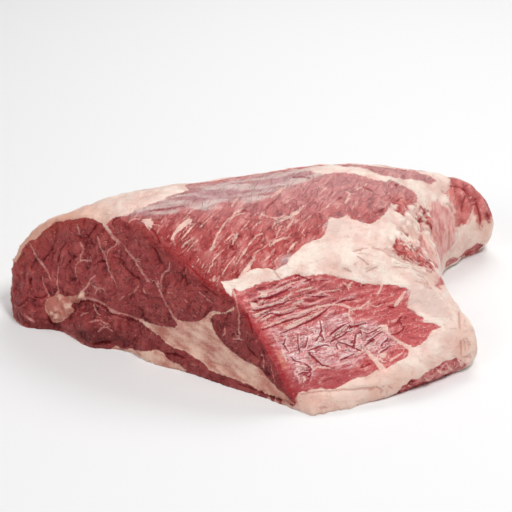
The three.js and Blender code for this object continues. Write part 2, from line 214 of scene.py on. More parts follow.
# Streaks of fat and connective tissue in the grain of the top.
TOP_STREAKS = [
    [(171, 240, 1.6), (173.5, 235, 2.2), (179, 229, 4.4), (186, 223, 5), (191, 220, 3.4)],
    [(175, 245, 0.8), (173, 239, 1.4)], [(181, 240, 0.9), (191, 228, 2), (196, 223, 1)],
    [(182, 248, 1.2), (184, 244, 1.6), (193, 238, 0.6)], [(187, 251, 0.5), (198, 240, 0.5)],
    [(210, 251, 2.4), (213, 247, 3), (214.5, 241, 1.6), (217, 235, 2), (225, 222.5, 1.4), (232, 217, 1.4),
     (239, 214, 1.2), (246, 212.5, 0.6)],
    [(231, 207, 1), (234, 203, 2.6), (238, 198.5, 1.4)],
    [(224, 243, 0.6), (228, 238.5, 1.1), (234, 234, 0.7)], [(232, 244, 1), (235, 239, 2.4), (237, 234, 1.4)],
    [(233, 214, 1), (237, 212, 1.6), (241, 209, 0.8)],
    [(248, 245, 1), (252, 241, 2.4), (257, 236, 1.4), (263, 233, 0.9)],
    [(222, 277, 0.6), (224, 271, 1), (235, 256, 0.7)],
    [(236, 265, 0.6), (241, 257, 1.2), (244.5, 252, 2.6), (247, 248, 1)],
    [(240, 279, 5), (249, 266.5, 3.8), (255.5, 256, 1.2)],
    [(212, 262, 0.6), (217, 256, 1.2), (224, 249, 0.6)], [(202, 268, 1), (204, 263, 0.8)],
    [(208, 273, 0.7), (210, 269, 1.1), (213, 264, 0.6)], [(213, 281, 2.4), (215, 276.5, 1.6)],
    [(197, 262, 1), (199, 258, 0.7)], [(183, 219, 0.5), (198, 206, 0.6)], [(200, 226, 0.6), (214, 214, 0.5)],
    [(271, 197, 1.2), (277, 193.5, 3), (283, 190, 2.6), (286, 188.5, 1)],
    [(259, 219, 0.8), (262, 214.5, 2.4), (266, 216, 1.2)],
    [(270, 218, 1.2), (277, 218.5, 1.8), (284, 216.5, 2.2), (289, 216, 1.2)],
    [(272, 228, 1), (275, 222.5, 1.4), (281, 220.5, 1.2), (288, 218, 2), (292, 215, 4.2), (297, 212, 3.6),
     (301, 209.5, 1.8), (304, 205, 1)],
    [(288, 228, 1.2), (291, 223, 2.6), (294, 218, 1.6)], [(276, 236, 1), (279, 231, 2), (282, 225, 1)],
    [(270, 246, 0.8), (276, 241, 2.2), (284, 238.5, 2.4), (291, 237, 1.2)],
    [(288, 252, 1), (292, 246, 2.2), (297, 241.5, 1.2)],
    [(262, 263, 0.7), (267, 258.5, 1.2), (274, 253, 0.8)], [(252, 258, 0.8), (256, 252, 1), (261, 248, 0.5)],
    [(274, 262, 0.6), (279, 256, 1), (285, 252, 0.6)], [(319, 195, 1.2), (323, 192, 2), (327, 188.5, 1)],
    [(345, 203.5, 1.6), (348, 198, 2.4), (350, 193.5, 1.8), (345, 191, 0.8)],
    [(326, 207.5, 1.2), (331, 203.5, 1.8)], [(305, 236, 0.6), (302, 232, 0.9), (306, 227, 0.6)],
    [(262, 248, 0.6), (268, 244, 1), (272, 240, 0.5)], [(149, 228, 1.4), (153, 222, 1), (151, 219, 0.8)],
    [(129, 223, 0.8), (134, 219.5, 1), (140, 219, 0.6)], [(318, 213, 0.6), (329, 205, 0.5)],
    [(300, 225, 0.5), (311, 215, 0.5)], [(355, 190, 0.5), (362, 187, 1.1), (367, 183, 0.6)],
    [(241, 231, 0.6), (245, 226, 1), (250, 221, 0.6)], [(253, 229, 0.6), (257, 224, 1), (262, 221, 0.6)],
]
# Thin fat in the facet, and painted highlights along its wet ridges and crumples, drawn as veins.
FACET_VEINS_AND_HIGHLIGHTS = [
    [(310, 310, 1), (322, 306, 1.6), (333, 304.5, 2), (343, 305, 2.6), (353, 309, 2), (360, 308, 1.8),
     (371, 299.5, 1)],
    [(350, 309, 2), (348.5, 315, 1.8), (353, 323.5, 1.2)],
    [(361, 343, 1.6), (365, 350, 3), (381, 367, 5.2), (385, 373, 7)],
    [(386, 331, 1.8), (392, 337, 2.8), (404, 345, 3.2), (410, 348, 5)],
    [(395, 305.5, 3.2), (399, 301, 3.6), (405, 292, 2.6)], [(382, 284, 2.2), (380, 290, 2.2), (377, 296, 1)],
    [(259, 291.5, 1.2), (266, 292, 2.2), (273, 290.5, 1.8), (281, 288, 2), (288, 284.5, 1.6),
     (298, 281.5, 0.9)],
    [(259, 307, 1.4), (273, 303.5, 1.8), (281, 300, 1.4), (287, 296.5, 2.6), (292, 293, 1.6)],
    [(294, 292, 0.8), (303, 289.5, 1.8), (313, 287, 0.8)], [(317, 293.5, 1.2), (340, 289, 0.8)],
    [(343, 283, 1.6), (349, 286, 1.6), (352, 282, 1.6)], [(346, 284, 1), (349, 289, 1.2)],
    [(255, 316, 4), (262, 312.5, 2), (270, 310, 1)],
    [(261, 320.5, 2.4), (268, 316.5, 1.4), (276, 312.5, 2), (284, 311, 1.2), (292, 308, 1.4),
     (299, 307, 0.8)],
    [(264, 328, 1.6), (272, 324, 2), (279, 321.5, 1)],
    [(277, 324, 1.4), (286, 318.5, 2.2), (296, 316, 2.6), (310, 309.5, 1.2)],
    [(284, 328, 3), (292, 325.5, 4.4), (323, 310.5, 1.2)], [(293, 304, 1.6), (298, 302, 3), (304, 300, 1)],
    [(333, 337, 1.2), (339, 333, 2.4), (345, 329, 2.2), (349, 326, 1.2)],
    [(338, 366, 1), (345, 363, 1.6), (353, 361, 1)], [(353, 357, 1.2), (358, 353, 2.2), (363, 351, 1.2)],
    [(312, 370, 1), (317, 367, 2), (331, 368.5, 1)], [(296, 367, 1.2), (302, 366, 2.2), (306, 368.5, 1)],
    [(370, 347, 0.8), (376, 341, 1.4), (383, 335, 0.8)], [(390, 360, 0.8), (397, 356, 1.6), (403, 352, 1)],
    [(370, 305, 0.8), (376, 307, 1.4), (383, 304, 0.8)],
]
# Dabs of fat on the lean.
DABS = [
    [(143, 222, 3), (146.5, 221.5, 6), (149, 224, 7), (149.5, 228.5, 4)],
    [(377, 329, 4), (381, 328, 7), (385, 328, 7), (387, 329, 4)],
    [(260, 297, 3), (263, 295.5, 6), (267, 294, 3)], [(251, 303, 3), (254, 305.5, 6), (256, 308, 3)],
    [(380, 355, 3.4), (383, 356, 5.4), (386, 354, 2.6)], [(272, 334, 0.8), (275, 338, 2.2), (278, 343, 0.8)],
    [(282, 350, 0.8), (284, 355, 2.2), (287, 361, 0.8)], [(294, 372, 0.8), (297, 376, 1.8), (300, 381, 0.8)],
    [(302, 376, 1), (305, 379, 1.8), (303, 383, 0.8)],
]
# Creases in the facet's membrane, drawn with the cracks: their deeper red, and painted shade in the folds.
FACET_CREASES = [
    [(280, 334, 1), (306, 323, 2), (320, 315, 1.6), (331, 306, 0.8)],
    [(262, 330, 1), (272, 327, 1.6), (281, 323, 1.6), (302, 317, 1.6), (311, 312, 0.8)],
    [(258, 298, 1.4), (266, 298.5, 2.4), (276, 295, 3.6), (284, 291.5, 3.6), (291, 287.5, 1.4)],
    [(252, 311, 1.4), (262, 309.5, 2.4), (281, 304, 2.6), (290, 300, 1.2)],
    [(263, 317, 1), (270, 313.5, 1.6), (278, 315, 2.4), (286, 314.5, 1.4), (294, 311, 1.2)],
    [(320, 321, 1), (322, 331, 2.2), (316, 341, 1.2)], [(321, 330, 1.4), (322, 336, 1.4), (324, 340, 0.8)],
    [(349, 323, 1.2), (342, 326, 1.8), (336, 330, 3), (331, 334, 3)],
    [(350, 326, 0.8), (345, 331, 1.2), (333, 338, 1)],
    [(331, 341, 2.6), (337, 339, 2.4), (342, 336, 1.4), (347, 332, 1.2), (353, 330, 0.8)],
    [(338, 342, 1), (345, 344, 1.6), (358, 350, 2.8), (361, 351, 1.4)],
    [(308, 351, 1), (319, 346.5, 2.4), (325, 345, 2), (329, 345.5, 0.8)],
    [(298, 336, 0.8), (298, 342, 1.6), (300, 352, 0.8)], [(308, 338, 0.8), (305, 348, 0.8)],
    [(336, 345, 1.6), (337.5, 350, 1)], [(308, 353, 1.6), (313, 357, 3), (322, 365, 1.8), (330, 367, 1.2)],
    [(304, 363, 1.2), (308, 366, 1.8), (312, 370, 1)], [(285, 339, 1), (284, 345, 1.8), (288, 351, 1.4)],
    [(291, 357, 1), (295, 361, 1.6), (301, 362, 0.8)],
    [(361, 332, 1.2), (356, 334, 1.8), (355, 340, 1.2), (354, 347, 1.4)], [(351, 327, 3), (366, 323, 1.2)],
    [(362, 332, 0.8), (368, 334, 1.4), (374, 331, 1.6), (381, 327, 0.8)],
    [(368, 341, 1.2), (373, 338, 2), (383, 331, 0.8)], [(381, 346, 1.8), (388, 338, 1)],
    [(380, 353, 1.4), (386, 349, 1.8), (391, 345, 1.2)], [(364, 346, 0.8), (370, 342, 1.2), (375, 340, 0.8)],
    [(391, 335, 1.2), (397, 334, 2), (402, 331, 1.6), (404, 327, 1)],
    [(396, 323, 2), (399, 320, 2.4), (402, 316, 1)], [(340, 361, 0.8), (348, 357, 1.6), (355, 354, 1.4)],
    [(389, 307, 2), (394, 307, 2.4)], [(361, 368, 1.2), (367, 365, 1.8), (371, 363.5, 1)],
    [(299, 374, 1.4), (304, 372.5, 2), (308, 373, 2.6)], [(336, 304, 0.8), (345, 300, 1.2), (356, 299, 0.8)],
    [(305, 296, 0.8), (315, 297, 1.4), (328, 296, 0.8)],
]
# Dark cracks and furrows, drawn darker partly as painted shade in them and along some edges, over the meat's
# own dark gaps: points and width.
CRACKS = [
    [(58, 262, 1.6), (61, 249, 1.2), (66, 243, 1)],
    [(80, 238, 1), (86, 238, 1.8), (90, 234, 1.8), (97, 224, 0.8)], [(86, 243.5, 1.2), (93, 243.5, 1.4)],
    [(44, 259, 0.8), (48, 254, 1.2), (53, 248, 0.7)], [(31, 269, 0.8), (34, 262, 1.4), (37, 256, 0.9)],
    [(66, 267, 0.8), (70, 261, 1), (76, 257, 0.6)], [(98, 262, 1), (105, 261.5, 1.4)],
    [(120, 262, 0.8), (133, 275, 1.3), (140, 280, 1)], [(112, 257, 0.7), (120, 259, 1.1), (126, 264, 0.7)],
    [(29, 284, 1.6), (31, 278, 1.6)], [(152, 246, 0.8), (157, 252, 1.4), (159, 261, 1)],
    [(184, 268, 0.6), (185, 278, 1.4), (187, 286, 1)], [(203, 285, 1), (217, 295, 1.2)],
    [(247, 314, 1.2), (250, 322, 1.8), (253, 332, 1.2)], [(187, 264, 0.8), (193, 270, 1.3), (199, 276, 0.9)],
    [(246, 342, 0.9), (250, 350, 1.4), (258, 358, 0.8)], [(74, 303, 1.4), (78, 301, 1.8), (81, 300, 1)],
    [(79, 301.5, 0.9), (88, 301, 1.1), (96, 303.5, 1.3), (104, 307, 1.2), (110, 313, 1), (138, 322, 1.2)],
    [(46, 296, 0.8), (40, 298, 1.1), (34, 297, 0.8)], [(18, 306, 1), (24, 302, 1.6), (28, 297, 1)],
    [(49, 312, 2.4), (50, 321, 3.2), (54, 326, 3)], [(68, 316, 1.2), (72, 312, 1.6), (75, 308, 1.2)],
    [(90, 346, 3), (100, 344, 3.6), (110, 342.5, 2.6)],
    [(148, 227, 1.2), (152, 230, 1.6), (157, 236, 1.8), (160, 243, 1.2)],
    [(112, 225, 0.8), (113, 219, 1.4), (118, 217.5, 1)], [(166, 353, 1.6), (176, 355, 2), (184, 358, 1.4)],
    [(210, 362, 0.8), (230, 367, 0.9)], [(267, 396, 2.6), (278, 399, 3.4), (289, 402, 3), (296, 407, 1.6)],
    [(238, 384, 1), (250, 388, 1.4), (262, 394, 1.8)],
    [(150, 210, 1), (156, 208, 1.8), (164, 208.5, 1), (174, 208.5, 1.2), (184, 206.5, 0.9)],
    [(165, 198.5, 0.6), (184, 193, 0.8)],
    [(266.5, 208, 1.2), (268.5, 204.5, 2.2), (273, 201, 0.8), (279, 197, 0.5)],
    [(241, 212, 0.8), (245, 209.5, 2), (248, 211, 0.8)], [(338, 199, 0.6), (341, 197, 2)],
    [(375, 213, 1), (381, 211, 2.6), (384, 209, 1.4)], [(395, 201, 0.7), (398, 200, 2.4), (402, 198, 0.8)],
    [(395, 185, 0.9), (398, 184.5, 2.4)], [(363, 186, 0.8), (369, 188, 1.8), (373, 190, 0.7)],
    [(292, 177, 0.6), (300, 176.5, 1.4), (310, 178, 1)], [(397, 250, 1.4), (401, 252, 2), (408, 253, 1.2)],
    [(405, 255, 1), (412, 259, 1.6), (420, 261, 1)], [(415, 249, 1), (418, 250.5, 2.4)],
    [(423, 213, 2.2), (427, 216, 2.8)], [(428, 222, 1.4), (432, 226, 2.2)],
    [(416, 221, 1.8), (419, 221, 2.2)], [(435, 241, 1.6), (438, 258, 1)], [(430, 248, 0.7), (432, 254, 0.9)],
    [(449, 245, 1.4), (450, 249, 1.4)], [(476, 199, 1), (478, 207, 2.2), (480, 217, 2.2), (480, 228, 0.8)],
    [(466, 195, 0.8), (463, 203, 1.8), (462, 212, 1)], [(486, 213, 0.8), (490, 219, 1.2)],
    [(451, 186, 0.6), (457, 186, 1), (464, 189, 1.4), (469, 196, 0.8)],
    [(446, 204, 1.6), (450, 206, 2.4), (452, 212, 2)], [(443, 191, 2), (446, 193, 2.4)],
    [(436, 172, 1), (440, 172.5, 2)], [(458, 225, 2), (459, 227, 1.8)],
    [(418, 221, 2), (425, 221, 1.4), (430, 224, 2.2), (433, 230, 2), (438, 260, 0.8)],
    [(423, 228, 1.2), (427, 231, 1.8), (431, 234, 1)], [(404, 256, 0.8), (419, 261, 1.4)],
    [(401, 237, 1.4), (404, 240, 2.4)], [(396, 241, 1.4), (398, 245, 1.4)],
    [(448, 232, 0.8), (449, 241, 1.4), (447, 250, 1)], [(440, 224, 0.8), (441, 236, 1.2), (440, 246, 0.8)],
    [(435, 286, 1.6), (440, 289, 2.2)], [(443, 270, 2.6), (446, 268, 2)],
    [(300, 394.5, 0.8), (318, 392, 1.2), (356, 389.5, 1.2), (366, 388.5, 2), (373, 389, 2.4)],
    [(320, 408, 1.4), (326, 407.5, 2)], [(408, 384.5, 1), (413, 382, 1.6)],
    [(429, 370, 1.6), (433, 369.5, 1)], [(399, 320, 1.6), (402, 324, 1), (397, 322, 1)],
    [(389, 306, 1.4), (394, 307, 2)], [(299, 274, 1), (295, 277, 1.8)], [(320, 281, 1.6), (328, 280, 1)],
    [(299, 275, 1), (310, 280.5, 1.6), (303, 282, 1)], [(274, 270, 0.7), (281, 279.5, 1.1)],
    [(366, 272, 0.8), (372, 269, 1.2), (377, 267, 0.7)],
    [(343, 268.5, 0.9), (347, 270, 1.6), (351, 272, 0.8)],
    [(384, 251, 0.6), (390, 256, 0.9), (400, 260, 0.8)], [(395, 259, 0.6), (404, 263, 1.1), (414, 266, 0.7)],
    [(416, 281, 0.8), (424, 284.5, 1.4), (430, 288, 0.9)], [(423, 279, 0.7), (427, 284, 1.6)],
    [(459, 312, 0.9), (459.5, 320, 1.8), (460, 328, 1.3)],
    [(308, 368, 0.8), (311, 374, 1.6), (309, 378, 1.6), (304, 374, 0.9)],
    [(352, 252, 0.5), (360, 250, 0.9), (367, 249, 0.5)], [(357, 257, 0.5), (363, 260, 0.8), (368, 265, 0.5)],
    [(372, 248, 0.5), (380, 249, 0.9), (388, 252, 0.6)],
    [(386, 248, 0.6), (393, 253, 1.3), (402, 258, 1.2), (421, 266, 0.7)],
    [(391, 247, 0.6), (398, 255, 1), (407, 259, 0.8)], [(393, 267, 0.7), (400, 267.5, 1.3), (408, 269, 0.8)],
    [(411, 269, 0.6), (419, 272, 1.1), (427, 275, 0.6)], [(417, 275, 0.7), (423, 278, 1.3), (428, 284, 0.8)],
    [(420, 281, 0.6), (425, 287, 1), (431, 290, 0.6)], [(376, 387, 0.8), (382, 390, 1.6), (380, 394, 0.8)],
    [(388, 386, 0.6), (392, 389, 1.2)], [(461, 340, 0.7), (462.5, 348, 1.4), (461, 355, 0.8)],
    [(467, 338, 0.7), (470, 345, 1.2), (467, 351, 0.7)], [(463, 357, 1.2), (469, 356, 0.8)],
    [(361, 366, 0.7), (366, 364, 1.4), (370, 364, 0.8)],
]
# Pale ridges where the strap comes down to the notch.
NOTCH_RIDGES = [
    [(422, 223, 3), (427, 227, 5), (431, 231, 3)],
    [(420, 231, 2), (426, 238, 4.4), (430, 246, 4.4), (438, 266, 3), (440, 275, 1.6)],
    [(408, 243, 2), (414, 243, 3), (418, 246, 1.4)], [(467, 222, 1), (471, 214, 2), (474, 206, 1.2)],
    [(443, 214, 1.2), (445, 224, 1.8), (444, 236, 1)],
]
# Pale folds in the strip of lean below the lobe, painted as highlights in the vein colour.
STRIP_FOLD_HIGHLIGHTS = [
    [(436, 369, 1.4), (441, 372, 2.4), (447, 372, 1.2)], [(446, 363, 1), (449, 368, 2.2), (455, 371, 1.4)],
    [(458, 359, 1.2), (462, 364, 2.4), (461, 370, 1.2)], [(424, 377, 1), (429, 380, 1.8), (434, 379, 0.8)],
    [(409, 386, 0.8), (414, 388, 1.6), (420, 387, 0.8)],
]
# Where the cut face's bundles overhang and lie in their own shade.
SHADE = [
    [(16, 317, 3), (24, 325, 6), (36, 329, 8), (50, 330, 6)], [(50, 311, 3), (53, 320, 6), (58, 328, 6)],
    [(60, 330, 4), (72, 337, 10), (86, 338, 18), (100, 338, 20), (112, 336, 14), (128, 343, 6)],
]
# The wet, see-through lip where the facet and the top meet the cut face.
LIP = [(150, 235), (160, 244), (168, 248), (178, 256), (210, 285), (240, 302), (277, 357), (295, 395)]

# ---- Noise and distances ----------------------------------------------------------------------------------

# The last number given to a noise is its seed, which only keeps it apart from the others.
NOISE_SEED = 7
DIRECTIONS = np.random.default_rng(NOISE_SEED).normal(size=(256, 3))
DIRECTIONS /= np.linalg.norm(DIRECTIONS, axis=1)[:, None]
NOISE_GAIN = 1.7  # brings the noise to about -1 to 1
PRIMES = [np.uint32(prime) for prime in (374761393, 668265263, 2246822519, 2654435761, 1274126177)]
SEED_STEP = 40503
JITTER_BITS = 10
LARGEST_JITTER = 2**JITTER_BITS - 1
STROKE_TAPER = 0.8  # what each pixel past a stroke's end takes off its half width


def smooth(low, high, value):
    """0 below low, 1 above high and an S between."""
    t = np.clip((value - low) / (high - low), 0, 1)
    return t * t * (3 - 2 * t)


def bell(value, width):
    """1 at zero, falling off on both sides."""
    return np.exp(-((value / width) ** 2))


def hashed(cells, seed):
    """A pseudo-random number for each cell of a lattice."""
    x, y, z = (cells[:, i].astype(np.uint32) for i in range(3))
    h = x * PRIMES[0] + y * PRIMES[1] + z * PRIMES[2]
    h = (h + np.uint32(seed * SEED_STEP)) * PRIMES[3]
    h = (h ^ (h >> np.uint32(13))) * PRIMES[4]
    return h ^ (h >> np.uint32(16))


def perlin(p, seed=0):
    """Gradient noise from about -1 to 1, with cells of one unit."""
    cell = np.floor(p).astype(np.int64)
    f = p - cell
    blend = f**3 * (f * (f * 6 - 15) + 10)
    total = np.zeros(len(p))
    for corner in np.ndindex(2, 2, 2):
        gradient = DIRECTIONS[hashed(cell + np.array(corner), seed) & np.uint32(len(DIRECTIONS) - 1)]
        weight = np.prod(np.where(corner, blend, 1 - blend), axis=1)
        total += weight * ((f - corner) * gradient).sum(1)
    return total * NOISE_GAIN


def fractal(p, octaves, seed=0):
    """Gradient noise with finer noise laid over it."""
    return sum(perlin(p * 2**k, seed + k) / 2**k for k in range(octaves))


def crazing(p, seed=0):
    """Distance from the borders between random cells of one unit, 0 on a border."""
    cell = np.floor(p).astype(np.int64)
    first = np.full(len(p), np.inf)
    second = first.copy()
    for shift in np.ndindex(3, 3, 3):
        corner = cell + np.array(shift) - 1
        h = hashed(corner, seed)
        jitter = [(h >> np.uint32(JITTER_BITS * k)) & np.uint32(LARGEST_JITTER) for k in range(3)]
        d = np.linalg.norm(corner + np.stack(jitter, -1) / LARGEST_JITTER - p, axis=1)
        second = np.minimum(second, np.maximum(first, d))
        first = np.minimum(first, d)
    return second - first


def winding(p, seed, width):
    """1 on winding lines, and 0 beyond them, where noise is over a width from zero."""
    return 1 - smooth(0, width, np.abs(perlin(p, seed)))


def inside(outline):
    """Distance in pixels from the edge of an outline, positive inside."""
    corners = np.array(outline, float)
    nearest = np.full(len(uv), np.inf)
    within = np.zeros(len(uv), bool)
    for a, b in zip(corners, np.roll(corners, -1, 0)):
        edge = b - a
        t = np.clip((uv - a) @ edge / (edge @ edge), 0, 1)
        nearest = np.minimum(nearest, np.linalg.norm(uv - a - t[:, None] * edge, axis=1))
        if a[1] != b[1]:
            crosses = (a[1] > uv[:, 1]) != (b[1] > uv[:, 1])
            within ^= crosses & (uv[:, 0] < a[0] + (uv[:, 1] - a[1]) * edge[0] / edge[1])
    return np.where(within, nearest, -nearest)


def in_any(outlines):
    """Distance in pixels from the edge of outlines taken together, positive inside."""
    return np.max([inside(outline) for outline in outlines], axis=0)


def lines(strokes):
    """For each vertex, the signed distance to the nearest stroke and that stroke's half width, in pixels.
    The half width turns negative past a stroke's ends."""
    best = np.full(len(uv), np.inf)
    side = np.zeros(len(uv))
    half = np.zeros(len(uv))
    for stroke in strokes:
        last = len(stroke) - 2
        for i, (start, end) in enumerate(zip(stroke, stroke[1:])):
            a, b = np.array(start[:2], float), np.array(end[:2], float)
            length = np.linalg.norm(b - a)
            edge = (b - a) / length
            along = (uv - a) @ edge
            t = np.clip(along / length, 0, 1)
            across = (uv[:, 0] - a[0]) * edge[1] - (uv[:, 1] - a[1]) * edge[0]
            past = along - t * length
            distance = np.hypot(across, past)
            width = (start[2] + (end[2] - start[2]) * t) / 2
            over = np.where(((i == 0) & (past < 0)) | ((i == last) & (past > 0)), np.abs(past), 0)
            closer = distance - width < best
            best = np.where(closer, distance - width, best)
            side = np.where(closer, np.sign(across) * distance, side)
            half = np.where(closer, width - over * STROKE_TAPER, half)
    return side, half


# ---- The mesh ---------------------------------------------------------------------------------------------

VOXEL = 0.95 * MM
SMOOTHING = 0.5
EVEN_OUT_ROUNDS = 36
EDGE_ROUNDS = 5  # near the knife's edges, which stay crisp
EDGE_BEND = (0.05 * MM, 0.11 * MM)  # from even ground to a knife's edge
EDGE_SPREAD_ROUNDS = 4
EDGE_HOLD = 1.6
TABLE_REACH = 0.5 * MM  # what is lower rests on the table


def fine_copy(node):
    """A fine, even mesh over the solid's form."""
    meat = bpy.data.objects.new("meat", node.data.copy())
    bpy.context.scene.collection.objects.link(meat)
    remesh = meat.modifiers.new("even", "REMESH")
    remesh.mode = "VOXEL"
    remesh.voxel_size = VOXEL
    remesh.adaptivity = 0
    graph = bpy.context.evaluated_depsgraph_get()
    mesh = bpy.data.meshes.new_from_object(meat.evaluated_get(graph))
    meat.modifiers.clear()
    meat.data = mesh
    return meat


def coordinates(mesh):
    co = np.empty(len(mesh.vertices) * 3)
    mesh.vertices.foreach_get("co", co)
    return co.reshape(-1, 3)


def normals(mesh):
    n = np.empty(len(mesh.vertices) * 3, np.float32)
    mesh.vertex_normals.foreach_get("vector", n)
    return n.reshape(-1, 3).astype(float)


def set_coordinates(mesh, co):
    mesh.vertices.foreach_set("co", co.astype(np.float32).ravel())
    mesh.update()


class Net:
    """The mesh's edges, to average values over neighbours."""

    def __init__(self, mesh):
        edges = np.empty(len(mesh.edges) * 2, np.int64)
        mesh.edges.foreach_get("vertices", edges)
        self.a, self.b = edges.reshape(-1, 2).T
        self.count = len(mesh.vertices)
        self.degree = np.bincount(self.a, minlength=self.count) + np.bincount(self.b, minlength=self.count)

    def mean(self, values):
        """The mean of each vertex's neighbours."""
        columns = values.reshape(self.count, -1).T
        total = [
            np.bincount(self.a, c[self.b], self.count) + np.bincount(self.b, c[self.a], self.count)
            for c in columns
        ]
        return (np.array(total) / self.degree).T.reshape(values.shape)


def even_out(co, net):
    """Smooths away the solid's flat faces, and leaves the knife's edges nearly as they are."""
    for _ in range(EDGE_ROUNDS):
        co = co + SMOOTHING * (net.mean(co) - co)
    bend = np.linalg.norm(net.mean(co) - co, axis=1)
    edge = smooth(*EDGE_BEND, bend)
    for _ in range(EDGE_SPREAD_ROUNDS):
        edge = np.maximum(edge, net.mean(edge))
    rate = SMOOTHING * (1 - np.clip(edge * EDGE_HOLD, 0, 1))[:, None]
    for _ in range(EVEN_OUT_ROUNDS):
        co = co + rate * (net.mean(co) - co)
    return co


meat = fine_copy(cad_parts["tri_tip"])
net = Net(meat.data)
on_table = coordinates(meat.data)[:, 2] < TABLE_REACH
base = even_out(coordinates(meat.data), net)
base[on_table, 2] = 0
set_coordinates(meat.data, base)
normal = normals(meat.data)
mm = base / MM
uv = to_pixels(base)
photo_x, photo_y = uv.T

# ---- What the photograph shows ----------------------------------------------------------------------------

RAY_START = 0.8 * MM
RAY_LENGTH = 0.4
GRAZING = (0.03, 0.22)  # from edge on to seen well
SEEN_SPREAD_ROUNDS = 2


def unhidden(mesh, to_eye, facing):
    """1 where nothing stands between a vertex and the camera."""
    tree = BVHTree.FromPolygons(base.tolist(), [tuple(p.vertices) for p in mesh.polygons])
    clear = np.zeros(len(base))
    for i in np.flatnonzero(facing > 0):
        start = base[i] + normal[i] * RAY_START + to_eye[i] * RAY_START
        clear[i] = tree.ray_cast(Vector(start), Vector(to_eye[i]), RAY_LENGTH)[0] is None
    return clear


def sight():
    """1 where the photograph shows the surface, and 0 where it doesn't."""
    to_eye = EYE - base
    to_eye /= np.linalg.norm(to_eye, axis=1)[:, None]
    facing = (normal * to_eye).sum(1)
    seen = smooth(*GRAZING, facing) * unhidden(meat.data, to_eye, facing)
    for _ in range(SEEN_SPREAD_ROUNDS):
        seen = 0.5 * seen + 0.5 * net.mean(seen)
    return seen


seen = sight()


def by_sight(shown, hidden):
    """One value where the photograph shows the surface, and another where it doesn't."""
    return seen * shown + (1 - seen) * hidden


HIDDEN = -5  # millimetres out of an outline, for what only the photographed side has
NO_LINE = -20  # half width, in pixels
DEEPEST = 12  # pixels


def depth(pixels, hidden=HIDDEN):
    """How deep inside an outline each vertex lies, in millimetres."""
    return by_sight(np.clip(pixels, -DEEPEST, DEEPEST) * PIXEL_MM, hidden)


def around(low, high, outline):
    """1 inside an outline that the photograph shows, with a soft edge between two depths in pixels."""
    return seen * smooth(low, high, inside(outline))


cut_px = inside(CUT_FACE)
facet_px = inside(LEAN_FACET)
tail_px = inside(LEAN_TAIL)
strip_px = inside(LEAN_STRIP)
lump_px = inside(FAT_LUMP)
lumpy_rim_px = inside(LUMPY_RIM)
lean_px = np.maximum.reduce([
    facet_px, tail_px, strip_px,
    in_any([LEAN_TOP, LEAN_BACK, LEAN_TEAR, LEAN_TEAR_TOP, *LEAN_DASHES, LEAN_UNDER_TAIL, LEAN_TAIL_RIM]),
])
fat_px = np.maximum.reduce([np.minimum(-lean_px, -cut_px), lump_px, in_any([FAT_SEAM, FAT_BASE])])
silver_px = in_any([SILVER_TOP, SILVER_LOBE, SILVER_BAND, SILVER_TIP])

# Out of the camera's sight the fat lies in long patches that follow the muscle.
ALONG_MUSCLE = np.array([0.93, 0.36, 0.0])
PATCH_STRETCH = 0.72
FAT_PATCH = 15
MORE_FAT = 0.24
SILVER_PATCH = 13
LESS_SILVER = 0.35
along_muscle = mm - PATCH_STRETCH * (mm @ ALONG_MUSCLE)[:, None] * ALONG_MUSCLE
hidden_fat = 5 * (fractal(along_muscle / FAT_PATCH, 4, 11) + MORE_FAT)
hidden_silver = 6 * (fractal(along_muscle / SILVER_PATCH, 3, 31) - LESS_SILVER)

fat = depth(fat_px, hidden_fat)
silver = depth(silver_px, hidden_silver)
cut = depth(cut_px)
facet = depth(facet_px)

# ---- Lines, and bands of the photograph -------------------------------------------------------------------

FACET_CRACK_WIDTH = 0.55  # of the drawn width
# Reaches in pixels. Each pair is where, in the photograph, a tone begins and where it is full.
LIP_SHIFT = 1.5
LIP_REACH = 2.6
LIP_REACH_ON_CUT = 4.6
LIP_REACH_LOW = 5
LIP_WIDENS_Y = (335, 375)
NEAR_CUT_REACH = 34
RIM_REACH = 11
RIM_X = (120, 60)
SHADY_SLOPE = (0.1, -0.55)
SHADY_Y = (280, 345)
FAR_Y = (172, 250)
LOW_Y = (366, 376)
WARM_END_X = (140, 60)
WARM_FRONT_Y = (350, 385)
WARM_TAIL_X = (440, 470)

# Veins, and the painted highlights of the facet's ridges and the strip's folds, drawn as the same pale
# lines.
vein_side, vein_half = lines(CUT_VEINS + TOP_STREAKS + FACET_VEINS_AND_HIGHLIGHTS + DABS + NOTCH_RIDGES + STRIP_FOLD_HIGHLIGHTS)
crack_side, crack_half = lines(CRACKS + FACET_CREASES)
shade_side, shade_half = lines(SHADE)
lip_side, _ = lines([[(x, y, 1) for x, y in LIP]])
narrowed = crack_half * (smooth(6, -3, facet_px) + FACET_CRACK_WIDTH * smooth(-3, 6, facet_px))
vein_half = by_sight(vein_half, NO_LINE)
crack_half = by_sight(np.where(crack_half > 0, narrowed, crack_half), NO_LINE)
lip_side += LIP_SHIFT
reach_on_cut = LIP_REACH_ON_CUT + LIP_REACH_LOW * smooth(*LIP_WIDENS_Y, photo_y)
lip_reach = np.where(lip_side > 0, LIP_REACH, reach_on_cut)
lip = seen * bell(lip_side, lip_reach)
near_cut = seen * bell(lip_side, NEAR_CUT_REACH)

